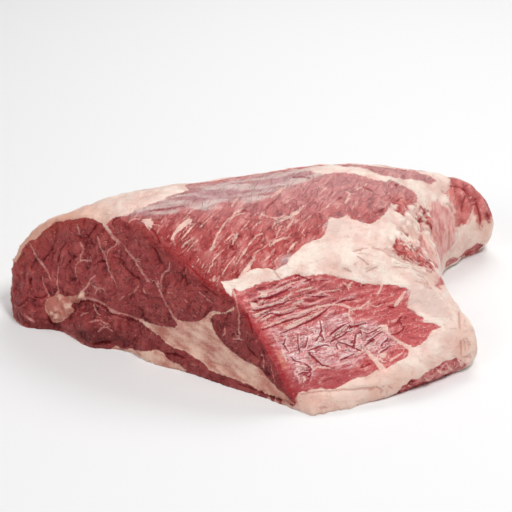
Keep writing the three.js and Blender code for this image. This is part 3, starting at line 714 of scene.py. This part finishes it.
in_fat = smooth(-0.7, 0.9, fat)
in_cut = smooth(-0.5, 0.5, cut)
in_facet = smooth(-0.3, 0.6, facet) * (1 - in_cut)
in_tail = seen * smooth(-3, 1, tail_px)
lean = 1 - in_fat
outside = 1 - in_cut
shade = seen * smooth(-9, 6, shade_half - np.abs(shade_side))
# Painted shade on the cut face: darker where it faces down, towards its bottom, and along the SHADE strokes
# where the bundles overhang.
painted_shade_under = in_cut * np.maximum.reduce([
    shade, 0.6 * seen * smooth(*SHADY_SLOPE, normal[:, 2]), 0.45 * seen * smooth(*SHADY_Y, photo_y),
])
rim = seen * in_cut * bell(cut_px, RIM_REACH) * smooth(*RIM_X, photo_x)
ragged = seen * np.maximum(smooth(-4, 6, inside(RAGGED)), 0.55 * smooth(-3, 4, lumpy_rim_px))
ridged = around(-4, 10, RIDGED_CORNER)
far = seen * (1 - smooth(*FAR_Y, photo_y))
# Painted shade on the fat: warmer and darker at its left end, along the front, at the lumpy rim and at the
# tail, where it lies in shade, over the fat's own warm tint.
warm_shade_tint = seen * np.maximum.reduce([
    1.3 * smooth(*WARM_END_X, photo_x), 0.5 * smooth(*WARM_FRONT_Y, photo_y),
    0.5 * smooth(7, 0, -lumpy_rim_px), 0.4 * smooth(*WARM_TAIL_X, photo_x),
])

# ---- Relief -----------------------------------------------------------------------------------------------

FACET_GRAIN = np.array([0.90, 0.38, 0.16])
FACET_UP = [0.17, -0.62, 0.76]  # out of the facet
TOP_GRAIN = np.array([0.39, 0.92, 0.05])
SEAM_GRAIN = np.array([0.80, -0.47, -0.28])
TEAR_GRAIN = np.array([0.90, -0.22, -0.39])
EDGE_GRAIN = np.array([0.95, 0.30, 0.05])

# Sizes of the features, in millimetres.
BUNDLE = [5.6, 5.6, 6.8]
PIT = [2.6, 2.6, 3.2]
FACET_RIDGE = 2.9
TOP_BAND = 3.6
TOP_FIBRE = 1.8
TAIL_FOLD = 4.5
FAT_MOUND = 8
FAT_CLUMP = 5
CRUMB = 5.2
SEAM_STREAK = 1.9
SILVER_STREAK = 3.4

# Heights, in millimetres.
SWELL = 0.5
FIBRES = {"cut": 0.5, "facet": 0.42, "tail": 0.4, "top": 0.42}
FAT_STEP = 0.35
MOUND_HEIGHT = 0.5
CLUMP_HEIGHT = 0.7
STREAK_HEIGHT = 0.15
LUMP_HEIGHT = 2.2
CRUMB_HEIGHT = 1.5
VEIN_HEIGHT = 0.45
CRACK_DEPTH = 0.7
CRACK_SHALLOWER_ON_FACET = 0.35
CRACK_SHALLOWER_IN_FAT = 0.3
WIDEST_CRACK = 1.6
SHADE_DEPTH = 0.6
LIP_HEIGHT = 0.6
LINE_REACH = 2.2  # pixels
OFF_TABLE = 0.05


def along_grain(direction, stretch):
    """The positions squeezed along the grain, so that noise over them makes fibres."""
    d = direction / np.linalg.norm(direction)
    return mm - (1 - 1 / stretch) * (mm @ d)[:, None] * d


def wander(amount, size, octaves, seed):
    """Noise that pushes positions aside before another noise is read there."""
    return amount * fractal(mm / size, octaves, seed)[:, None]


def cut_tone():
    """The cut face: bundles of fibres seen end on, with short furrows between."""
    bundles = crazing(mm / BUNDLE + 0.4 * fractal(mm[:, [1, 2, 0]] / 6, 2, 4)[:, None], 5)
    furrow = (1 - smooth(0.0, 0.16, bundles)) * smooth(-0.4, 0.5, perlin(mm / 6, 22))
    pits = smooth(0.2, 0.7, perlin(mm / PIT, 42))
    return 0.5 - 1.4 * furrow - 0.9 * pits + 0.7 * fractal(mm / 6.5, 3, 6)


def facet_ridges():
    """Ridges along the facet's grain."""
    across = np.cross(FACET_GRAIN / np.linalg.norm(FACET_GRAIN), FACET_UP)
    phase = mm @ across / FACET_RIDGE + 0.9 * fractal(along_grain(FACET_GRAIN, 3) / 7, 2, 8)
    patchy = smooth(-0.5, 0.3, perlin(along_grain(FACET_GRAIN, 4) / 4, 23))
    return (np.abs(np.sin(np.pi * phase)) * 2 - 1.2) * patchy


def top_tone():
    """The top and the rest of the skin: bands and fine fibres across the muscle."""
    bands = perlin(along_grain(TOP_GRAIN, 4) / TOP_BAND + wander(0.4, 9, 1, 16), 17)
    fibres = perlin(along_grain(TOP_GRAIN, 6) / TOP_FIBRE, 12)
    shingles = winding(along_grain(TOP_GRAIN, 2.2) / 6 + wander(0.3, 4, 1, 43), 44, 0.17)
    shingles *= smooth(-0.4, 0.4, perlin(mm / 8, 45))
    return 0.15 + 0.9 * bands + 0.4 * fibres + 0.9 * fractal(mm / 5, 3, 13) - 1.3 * shingles


def tail_tone():
    """The tail: upright folds."""
    folds = perlin(along_grain(UP, 4) / TAIL_FOLD + wander(0.5, 8, 1, 18), 19)
    return 1.3 * folds + 0.7 * fractal(mm / 4, 2, 20)


def by_zone(cut, facet, tail, top):
    value = top + in_tail * (tail - top)
    value = value + in_facet * (facet - value)
    return value + in_cut * (cut - value)


# The facet is crumpled where it is wettest.
ridges = facet_ridges()
crumple = seen * smooth(-8, 8, inside(MEMBRANE) + 5 * fractal(mm / 7, 2, 48))
rumple = 0.7 - 1.6 * winding(along_grain(FACET_GRAIN, 2.4) / 6.5 + wander(0.5, 5, 2, 9), 10, 0.14)
mottle = fractal(mm / 3.4, 3, 15)
facet_tone = 0.35 * ridges + 0.7 * mottle
facet_tone += ridged * (0.8 * ridges - 0.2 * mottle) + crumple * (0.6 * rumple + 0.2)
wet = np.maximum(crumple, 0.6 * ridged)
film_noise = fractal(along_grain(FACET_GRAIN, 2.5) / 4, 3, 21)
# Film: where the facet's membrane is painted pale as sheen, on its crumples and the crests of its ridged
# corner, over the membrane's own pallor.
film = in_facet * lean * np.maximum(
    crumple * smooth(-1.1, 0.5, film_noise + 0.5 * rumple),
    ridged * smooth(0.3, 1.0, ridges + 0.5 * film_noise) * 0.6,
)

# Fat: soft mounds, crumbling into clumps where it is torn.
mounds = fractal(mm / FAT_MOUND, 3, 2)
clump_borders = crazing(along_grain(TEAR_GRAIN, 2) / FAT_CLUMP + wander(0.5, 6, 2, 24), 25)
clumps = 2 * smooth(0, 0.5, clump_borders) - 1.1
crumb_borders = crazing(mm / CRUMB + wander(0.4, 4, 2, 46), 47)
crumbs = 1.3 * smooth(0, 0.6, crumb_borders) - 0.6 + 0.3 * fractal(mm / 3, 2, 49)
in_lump = seen * smooth(-2, 2, lump_px)
streaks = perlin(along_grain(SEAM_GRAIN, 6) / SEAM_STREAK + wander(0.4, 6, 1, 26), 27)
far_streaks = fractal(along_grain(EDGE_GRAIN, 6) / SILVER_STREAK, 3, 28)

# The tone raises the relief and lightens the colour in the material, so hollows are painted darker and rises
# lighter: painted shade and light over the meat's own mottling.
lean_tone = by_zone(cut_tone(), facet_tone, tail_tone(), top_tone())
fat_tone = mounds + ragged * clumps + in_cut * (0.8 * streaks - 0.5 * mounds) + in_lump * (crumbs - 0.3)
tone = lean_tone + in_fat * (fat_tone - lean_tone)


def relief():
    """The height of the surface over the solid's form, in millimetres."""
    height = SWELL * fractal(mm / 16, 3, 1)
    height += lean * lean_tone * by_zone(**FIBRES)
    height += in_fat * outside * (FAT_STEP + MOUND_HEIGHT * mounds + CLUMP_HEIGHT * ragged * clumps)
    height += in_fat * in_cut * STREAK_HEIGHT * streaks
    height += seen * smooth(-1, 5, lump_px) * (LUMP_HEIGHT + CRUMB_HEIGHT * crumbs)
    height += seen * VEIN_HEIGHT * bell(vein_side, LINE_REACH) * smooth(0.2, 1.6, vein_half) * outside
    crack = CRACK_DEPTH - CRACK_SHALLOWER_ON_FACET * in_facet - CRACK_SHALLOWER_IN_FAT * in_fat
    height -= seen * bell(crack_side, LINE_REACH) * np.clip(crack_half, 0, WIDEST_CRACK) * crack
    height -= SHADE_DEPTH * shade * in_cut
    return height + LIP_HEIGHT * lip


def raise_surface():
    shaped = base + normal * (relief() * MM)[:, None]
    lowest = np.where(on_table, 0, OFF_TABLE * MM)
    shaped[:, 2] = np.maximum(shaped[:, 2], lowest)
    shaped[on_table, 2] = 0
    set_coordinates(meat.data, shaped)


raise_surface()

# Where fat and lean run into each other.
soft = np.maximum.reduce([ragged, seen * smooth(-6, 0, tail_px), 0.8 * (1 - seen)])
fat = fat * (1 - 0.5 * soft * seen) + 0.8 * ragged * (clumps + 0.5)

FIELDS = {
    "fat": fat, "silver": silver, "strap": depth(inside(STRAP)), "cut": cut, "facet": facet, "lip": lip,
    "film": film, "wet": wet, "tone": tone, "far": far, "soft": soft, "far_streaks": far_streaks,
    "painted_shade_under": painted_shade_under, "rim": rim, "warm_shade_tint": warm_shade_tint, "near_cut": near_cut,
    "flank": seen * smooth(-2, 2, strip_px), "low": seen * smooth(*LOW_Y, photo_y),
    "rim_fat": around(-1.5, 2, RIM_FAT),
    "vein_side": vein_side * PIXEL_MM, "vein_half": vein_half * PIXEL_MM,
    "crack_side": crack_side * PIXEL_MM, "crack_half": crack_half * PIXEL_MM,
}
for name, values in FIELDS.items():
    attribute = meat.data.attributes.new(name, "FLOAT", "POINT")
    attribute.data.foreach_set("value", values.astype(np.float32))
meat.data.shade_smooth()

# ---- The material -----------------------------------------------------------------------------------------

# Directions of the fibres on the ground plane, in degrees.
TOP_HEADING = 67
FACET_HEADING = 23
FACET_CREASE_HEADING = 75
FAT_HEADING = 15

# Colours as they look, in red, green and blue of 255. Lean has a dark, a middle and a light one.
CUT_LEAN = ((106, 20, 28), (160, 56, 56), (192, 92, 88))
TOP_LEAN = ((138, 26, 34), (192, 78, 75), (228, 154, 146))
FACET_LEAN = ((138, 16, 34), (203, 86, 87), (240, 170, 164))
TORN_LEAN = ((168, 34, 40), (228, 126, 118))
# Lean on the flank of the lobe: pinker, and painted paler as light where the flank turns from the lamps.
FLANK_LEAN_PAINTED_LIGHT = ((170, 48, 58), (232, 150, 146))
# Tones laid over the lean one after another: where, how strongly, and the colour.
# The last tone over the cut face is painted shade, darkest where the bundles overhang.
OVER_CUT = [("cut_crease", 0.55, (92, 14, 24)), ("rim", 0.6, (178, 66, 54)), ("painted_shade_under", 0.7, (84, 10, 16))]
OVER_TOP = [
    ("top_crease", 0.6, (146, 26, 38)), ("far", 0.5, (220, 176, 174)), ("near_cut", 0.8, (162, 42, 42)),
]
OVER_FACET = [("low", 0.5, (158, 44, 56))]
# The warm tone over the fat is painted shade, with the fat's own warm tint.
OVER_FAT = [("fat_crease", 0.3, (224, 164, 150)), ("warm_shade_tint", 0.7, (232, 172, 150))]
# The crumpled facet's creases: their deeper red, and painted shade in the folds.
WET_CREASE_SHADE = (140, 14, 34)
# Painted sheen on the facet's pale film, then painted glints.
TAUT_FILM_SHEEN = (236, 160, 166)
GLINT = (255, 230, 224)
# Pale flecks of fat in the lean, with painted glints among them.
TOP_FLECK_AND_GLINT = (236, 184, 174)
CUT_FLECK_AND_GLINT = (214, 140, 126)
SILVER = ((188, 136, 138), (226, 205, 198))
SILVER_OVER_FAT = (224, 194, 184)
STRAP_TONES = ((204, 112, 110), (230, 170, 162))
FAT_TONES = ((233, 197, 184), (247, 228, 215))
# Painted shade in the hollows between the fat's mounds.
FAT_HOLLOW_SHADE = (222, 160, 148)
CUT_FAT = ((194, 116, 102), (244, 204, 184))
# Pale veins, and the painted highlights drawn as veins.
VEIN_AND_HIGHLIGHT = (244, 202, 188)
CUT_VEIN = (224, 156, 146)
# Painted highlight along one side of each crease in the wet facet.
FOLD_HIGHLIGHT = (252, 208, 204)
# Cracks: the meat's own dark gaps, and painted shade in them.
TOP_CRACK_SHADE = (138, 26, 36)
CUT_CRACK_SHADE = (88, 14, 22)
FACET_CRACK_SHADE = (150, 8, 38)
FAT_CRACK_SHADE = (198, 118, 106)
TOP_LIP = (160, 20, 28)
FACET_LIP = (172, 22, 34)
RIM_FAT_TONE = (230, 142, 112)
FLOOR = (243, 243, 243)


def linear(red, green, blue):
    """A colour as it looks, 0 to 255, in linear light, by the usual screen curve."""
    light = [c / 3294.6 if c <= 10 else ((c / 255 + 0.055) / 1.055) ** 2.4 for c in (red, green, blue)]
    return (*light, 1)


class Value:
    """A node's output. Arithmetic with it makes further nodes."""

    def __init__(self, graph, socket):
        self.graph = graph
        self.socket = socket

    def __add__(self, other):
        return self.graph.math("ADD", self, other)

    def __sub__(self, other):
        return self.graph.math("SUBTRACT", self, other)

    def __rsub__(self, other):
        return self.graph.math("SUBTRACT", other, self)

    def __mul__(self, other):
        return self.graph.math("MULTIPLY", self, other)

    def __abs__(self):
        return self.graph.math("ABSOLUTE", self)

    def step(self, low, high, to_low=0.0, to_high=1.0):
        """Passes smoothly from one number to another while this value goes from low to high."""
        inputs = {"Value": self, "From Min": low, "From Max": high, "To Min": to_low, "To Max": to_high}
        return self.graph.node("MapRange", inputs, interpolation_type="SMOOTHSTEP")


class Graph:
    """Short names for a material's nodes. An input is another node's Value or a plain number."""

    def __init__(self, material):
        self.tree = material.node_tree
        self.tree.nodes.clear()

    def node(self, kind, inputs, output=0, **settings):
        made = self.tree.nodes.new("ShaderNode" + kind)
        for key, value in settings.items():
            setattr(made, key, value)
        for key, value in inputs.items():
            if isinstance(value, Value):
                self.tree.links.new(value.socket, made.inputs[key])
            else:
                made.inputs[key].default_value = value
        return Value(self, made.outputs[output]) if made.outputs else None

    def math(self, operation, *values):
        return self.node("Math", dict(enumerate(values)), operation=operation)

    def larger(self, a, b):
        return self.math("MAXIMUM", a, b)

    def mix(self, share, a, b):
        """A mix of two colours, each a Value or three plain numbers."""
        a, b = (linear(*c) if isinstance(c, tuple) else c for c in (a, b))
        return self.node("Mix", {0: share, 6: a, 7: b}, 2, data_type="RGBA")

    def blend(self, share, a, b):
        """A mix of two numbers."""
        return self.node("Mix", {0: share, 2: a, 3: b}, 0, data_type="FLOAT")

    def stretched(self, where, heading, length):
        """Positions squeezed along a heading on the ground plane, so that noise over them lies along it."""
        inputs = {"Vector": where, "Rotation": (0, 0, math.radians(heading)), "Scale": (length, 1, 1)}
        return self.node("Mapping", inputs, vector_type="TEXTURE")

    def noise(self, where, scale, detail=2.0, rough=0.5, warp=0.0):
        """Noise around zero, from about -1 to 1."""
        inputs = {"Vector": where, "Scale": scale, "Detail": detail, "Roughness": rough, "Distortion": warp}
        raw = self.node("TexNoise", inputs)
        spread = {"Value": raw, "From Min": 0.25, "From Max": 0.75, "To Min": -1.0, "To Max": 1.0}
        return self.node("MapRange", spread, clamp=False)


def shared_fields(g):
    """The mesh's own values, by their names, and the noises that colours and relief share."""
    f = SimpleNamespace(**{name: g.node("Attribute", {}, "Fac", attribute_name=name) for name in FIELDS})
    f.where = g.node("VectorMath", {0: g.node("TexCoord", {}, "Object"), "Scale": 1 / MM}, operation="SCALE")
    f.fine = g.noise(f.where, 1.2, 3, 0.65)
    f.medium = g.noise(f.where, 0.42, 4, 0.6)
    f.broad = g.noise(f.where, 0.09, 3)
    f.top_fibre = g.noise(g.stretched(f.where, TOP_HEADING, 5), 0.8, 4, 0.6)
    f.facet_fibre = g.noise(g.stretched(f.where, FACET_HEADING, 5), 0.8, 4, 0.6)
    f.in_cut = f.cut.step(-0.3, 0.3)
    f.in_facet = f.facet.step(-0.4, 0.4)
    fat_room = f.fat + f.medium * g.blend(f.soft, 0.5, 1.0)
    f.in_fat = g.blend(f.soft, fat_room.step(-0.25, 0.3), fat_room.step(-0.7, 0.9))
    f.silver_room = f.silver + f.far_streaks * 2.2 + f.fine * 0.5
    return f


def add_lines(g, f):
    """How much of a vein, the painted highlights drawn as veins among them, and of a crack shows at each
    point.
    """
    vein_room = f.vein_half + f.fine * 0.3 - abs(f.vein_side + f.medium * 0.3)
    vein_share = g.larger(f.medium.step(-0.7, 0.5, 0.3, 0.95), f.vein_half.step(0.3, 0.9))
    # On the facet, where most strokes are painted highlights, they show at least this much.
    f.vein = vein_room.step(-0.25, 0.16) * g.larger(vein_share, f.in_facet * 0.6)
    f.crack_room = f.crack_half + f.fine * 0.35 - abs(f.crack_side + f.medium * 0.25)
    f.crack = g.blend(f.in_facet, f.crack_room.step(-0.5, 0.4), f.crack_room.step(-0.28, 0.1))


def add_creases(g, f):
    """Thin winding lines along a heading, where noise passes through zero."""
    patchy = f.medium.step(-0.5, 0.3)

    def creases(heading, length, scale, warp, width):
        level = g.noise(g.stretched(f.where, heading, length), scale, 2, 0.6, warp)
        return abs(level).step(0.0, width, 1.0, 0.0) * patchy

    f.top_crease = creases(TOP_HEADING, 2.8, 0.24, 0.8, 0.26)
    f.cut_crease = creases(0, 1.0, 0.24, 1.0, 0.22)
    f.fat_crease = creases(FAT_HEADING, 2.4, 0.22, 0.7, 0.14)
    along = creases(FACET_HEADING, 3.2, 0.30, 0.5, 0.2)
    across = creases(FACET_CREASE_HEADING, 1.6, 0.16, 0.9, 0.12)
    f.wet_crease = g.larger(along, across) * f.wet * f.in_facet


def overlaid(g, f, colour, tones):
    for field, share, tone in tones:
        colour = g.mix(getattr(f, field) * share, colour, tone)
    return colour


def lean_colour(g, f):
    """Lean: the relief's tone, light on rises and dark in hollows as painted light and shade, and finer
    grain, each zone in its own three colours.
    """

    def zone(fibre, fibre_share, fine_share, tones, over):
        dark, middle, light = tones
        level = f.tone * 0.8 + f.fine * fine_share + fibre * fibre_share
        low = g.mix(level.step(-1.1, -0.1), dark, middle)
        return overlaid(g, f, g.mix(level.step(-0.1, 1.2), low, light), over)

    cut = zone(f.medium, 0.4, 0.12, CUT_LEAN, OVER_CUT)
    top = zone(f.top_fibre, 0.5, 0.3, TOP_LEAN, OVER_TOP)
    facet = zone(f.facet_fibre, 0.7, 0.35, FACET_LEAN, OVER_FACET)
    colour = g.mix(f.in_cut, g.mix(f.in_facet, top, facet), cut)
    colour = g.mix(f.soft * 0.7, colour, g.mix(f.tone.step(-0.9, 0.7), *TORN_LEAN))
    # The flank's strip of lean: its own pinker colour, painted paler as light where it turns from the lamps.
    return g.mix(f.flank * 0.8, colour, g.mix((f.tone + f.medium).step(-0.9, 0.9), *FLANK_LEAN_PAINTED_LIGHT))


def membrane_over(g, f, colour):
    """The facet's skin: pale where it is taut, partly painted sheen, with maroon creases partly in painted
    shade, and painted glints.
    """
    # Painted shade in the folds of the crumpled membrane, over its deeper red.
    colour = g.mix(f.wet_crease * 0.6, colour, WET_CREASE_SHADE)
    taut = (f.facet_fibre + f.fine * 0.5).step(-0.6, 0.6, 0.1, 1.0)
    colour = g.mix(f.film * taut, colour, TAUT_FILM_SHEEN)
    glint = g.noise(g.stretched(f.where, FACET_HEADING, 3), 0.7, 3, 0.6, 1.2).step(0.0, 0.45)
    return g.mix(glint * f.film * 0.8, colour, GLINT)


def flecks_and_glints_over(g, f, colour):
    """Small pale flecks in the lean: flecks of fat, with painted glints among them."""
    top = g.noise(g.stretched(f.where, TOP_HEADING, 4), 0.8, 1, 0.4).step(0.5, 0.9, 0.0, 0.5)
    cut = g.noise(f.where, 0.7, 1, 0.4).step(0.7, 0.95, 0.0, 0.4)
    return g.mix(g.blend(f.in_cut, top, cut), colour, g.mix(f.in_cut, TOP_FLECK_AND_GLINT, CUT_FLECK_AND_GLINT))


def fat_colour(g, f):
    fat = g.mix((f.broad + f.tone * 0.6).step(-0.9, 0.6), *FAT_TONES)
    # Painted shade: darker, pinker fat in the hollows between its mounds.
    fat = g.mix((f.medium - f.tone * 0.5).step(0.2, 1.2, 0.0, 0.3), fat, FAT_HOLLOW_SHADE)
    fat = overlaid(g, f, fat, OVER_FAT)
    fat = g.mix(f.silver_room.step(-1.0, 2.0, 0.0, 0.85), fat, SILVER_OVER_FAT)
    cut_fat = g.mix((f.tone * 1.2 + f.fine * 0.4).step(-1.0, 1.0), *CUT_FAT)
    return g.mix(f.in_cut, fat, cut_fat)


def skins_over(g, f, colour):
    """Silverskin, fat and the pale strap."""
    silver = g.mix(f.far_streaks.step(-0.7, 0.5), *SILVER)
    colour = g.mix(f.silver_room.step(-2.5, 1.5, 0.0, 0.8), colour, silver)
    colour = g.mix(f.in_fat, colour, fat_colour(g, f))
    strap = (f.strap + f.medium * 0.9).step(-1.2, 1.4, 0.0, 0.85)
    tail_fibre = g.noise(g.node("Mapping", {"Vector": f.where, "Scale": (0.9, 0.25, 0.2)}), 0.8, 4, 0.6)
    return g.mix(strap, colour, g.mix(tail_fibre.step(-0.8, 0.6), *STRAP_TONES))


def lines_over(g, f, colour):
    """Veins and painted highlights, cracks partly painted as shade, a painted highlight by each facet
    crease, and the wet lip.
    """
    colour = g.mix(f.vein, colour, g.mix(f.in_cut, VEIN_AND_HIGHLIGHT, CUT_VEIN))
    # Painted highlight on one side of each crease in the wet facet.
    beside = f.crack_room.step(-1.5, -0.5) * f.crack_side.step(0.0, 0.4)
    shine = beside * f.wet * f.in_facet * f.fine.step(-0.7, 0.1)
    colour = g.mix(shine * 0.75, colour, FOLD_HIGHLIGHT)
    # Painted shade in the cracks and creases, over the meat's own darker gaps.
    dark = g.mix(f.in_facet, g.mix(f.in_cut, TOP_CRACK_SHADE, CUT_CRACK_SHADE), FACET_CRACK_SHADE)
    share = f.crack * g.blend(f.in_facet, g.blend(f.in_fat, 0.7, 0.5), 0.9)
    colour = g.mix(share, colour, g.mix(f.in_fat, dark, FAT_CRACK_SHADE))
    lip = f.lip * (1.0 - f.in_cut * 0.5) * f.medium.step(-0.9, 0.2, 0.35, 0.85)
    colour = g.mix(lip, colour, g.mix(f.in_facet, TOP_LIP, FACET_LIP))
    return g.mix(f.rim_fat * f.fine.step(-0.5, 0.5, 0.3, 0.8), colour, RIM_FAT_TONE)


def fine_relief(g, f):
    """Relief too fine for the mesh."""
    grain = g.blend(f.in_cut, g.blend(f.in_facet, f.top_fibre, f.facet_fibre), f.medium)
    fine_share = g.blend(f.in_fat, g.blend(f.in_cut, 0.22, 0.1), 0.08)
    lean_crease = g.blend(f.in_cut, g.blend(f.in_facet, f.top_crease, f.wet_crease), f.cut_crease)
    relief = grain * g.blend(f.in_fat, 0.5, 0.2) + f.fine * fine_share - f.crack * 0.8
    relief = relief - g.blend(f.in_fat, lean_crease, f.fat_crease * 0.3)
    return g.node("Bump", {"Height": relief, "Strength": 0.85, "Distance": 0.5 * MM})


def meat_material():
    material = bpy.data.materials.new("raw_meat")
    material.use_nodes = True
    g = Graph(material)
    f = shared_fields(g)
    add_lines(g, f)
    add_creases(g, f)
    colour = membrane_over(g, f, lean_colour(g, f))
    colour = skins_over(g, f, flecks_and_glints_over(g, f, colour))
    bump = fine_relief(g, f)
    rough = g.blend(f.in_facet, f.fine.step(-0.8, 0.8, 0.28, 0.46), f.fine.step(-0.8, 0.8, 0.12, 0.3))
    open_to_light = 1.0 - f.crack * 0.85
    shader = g.node("BsdfPrincipled", {
        "Base Color": lines_over(g, f, colour), "Normal": bump, "IOR": 1.4,
        "Roughness": g.blend(f.in_fat, rough, 0.42),
        "Specular IOR Level": open_to_light * g.blend(f.in_facet, 0.36, 0.5),
        "Coat Weight": g.blend(f.in_facet, 0.15, f.wet * 0.9) * open_to_light,
        "Coat Roughness": 0.08, "Coat Normal": bump,
        "Subsurface Weight": 0.15, "Subsurface Radius": (1.0, 0.35, 0.25), "Subsurface Scale": 1.6 * MM,
    })
    g.node("OutputMaterial", {"Surface": shader})
    return material


meat.data.materials.clear()
meat.data.materials.append(meat_material())
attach(meat, "root")
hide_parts("tri_tip")

# ---- Stage ------------------------------------------------------------------------------------------------

FLOOR_HALF = 4.0
WORLD_LIGHT = 0.3
# Each light's place, the point it looks at, its two sides and its watts.
LIGHTS = {
    "key": ((0.29, -0.22, 0.82), (0, 0, 0.03), (0.28, 0.28), 4),
    "back": ((0.15, 0.5, 0.62), (0, 0, 0.03), (0.5, 0.25), 2.2),
    "fill": ((-0.6, -0.62, 0.66), (0, 0, 0.02), (0.4, 0.4), 1.8),
}


def plain_floor():
    mesh = bpy.data.meshes.new("floor")
    corners = [(x * FLOOR_HALF, y * FLOOR_HALF, 0) for x, y in ((-1, -1), (1, -1), (1, 1), (-1, 1))]
    mesh.from_pydata(corners, [], [(0, 1, 2, 3)])
    floor = bpy.data.objects.new("floor", mesh)
    bpy.context.scene.collection.objects.link(floor)
    material = bpy.data.materials.new("pale_floor")
    material.use_nodes = True
    shader = material.node_tree.nodes["Principled BSDF"]
    shader.inputs["Base Color"].default_value = linear(*FLOOR)
    shader.inputs["Roughness"].default_value = 0.9
    shader.inputs["Specular IOR Level"].default_value = 0.1
    mesh.materials.append(material)


def area_light(name, place, aim, sides, watts):
    light = bpy.data.lights.new(name, "AREA")
    light.shape = "RECTANGLE"
    light.size, light.size_y = sides
    light.energy = watts
    lamp = bpy.data.objects.new(name, light)
    lamp.location = place
    lamp.rotation_euler = (Vector(aim) - Vector(place)).to_track_quat("-Z", "Y").to_euler()
    bpy.context.scene.collection.objects.link(lamp)


def soft_world():
    world = bpy.data.worlds.new("studio")
    bpy.context.scene.world = world
    world.use_nodes = True
    background = world.node_tree.nodes["Background"]
    background.inputs["Color"].default_value = (1, 1, 1, 1)
    background.inputs["Strength"].default_value = WORLD_LIGHT


def photo_camera():
    data = bpy.data.cameras.new("camera")
    data.lens = LENS_MM
    data.sensor_width = SENSOR_MM
    camera = bpy.data.objects.new("camera", data)
    turn = Matrix(np.stack([RIGHT, UP, BACK], 1).tolist()).to_4x4()
    camera.matrix_world = Matrix.Translation(Vector(EYE)) @ turn
    bpy.context.scene.collection.objects.link(camera)
    return camera


plain_floor()
soft_world()
for name, (place, aim, sides, watts) in LIGHTS.items():
    area_light(name, place, aim, sides, watts)
bpy.context.scene.camera = photo_camera()
bpy.context.scene.view_settings.view_transform = "Standard"
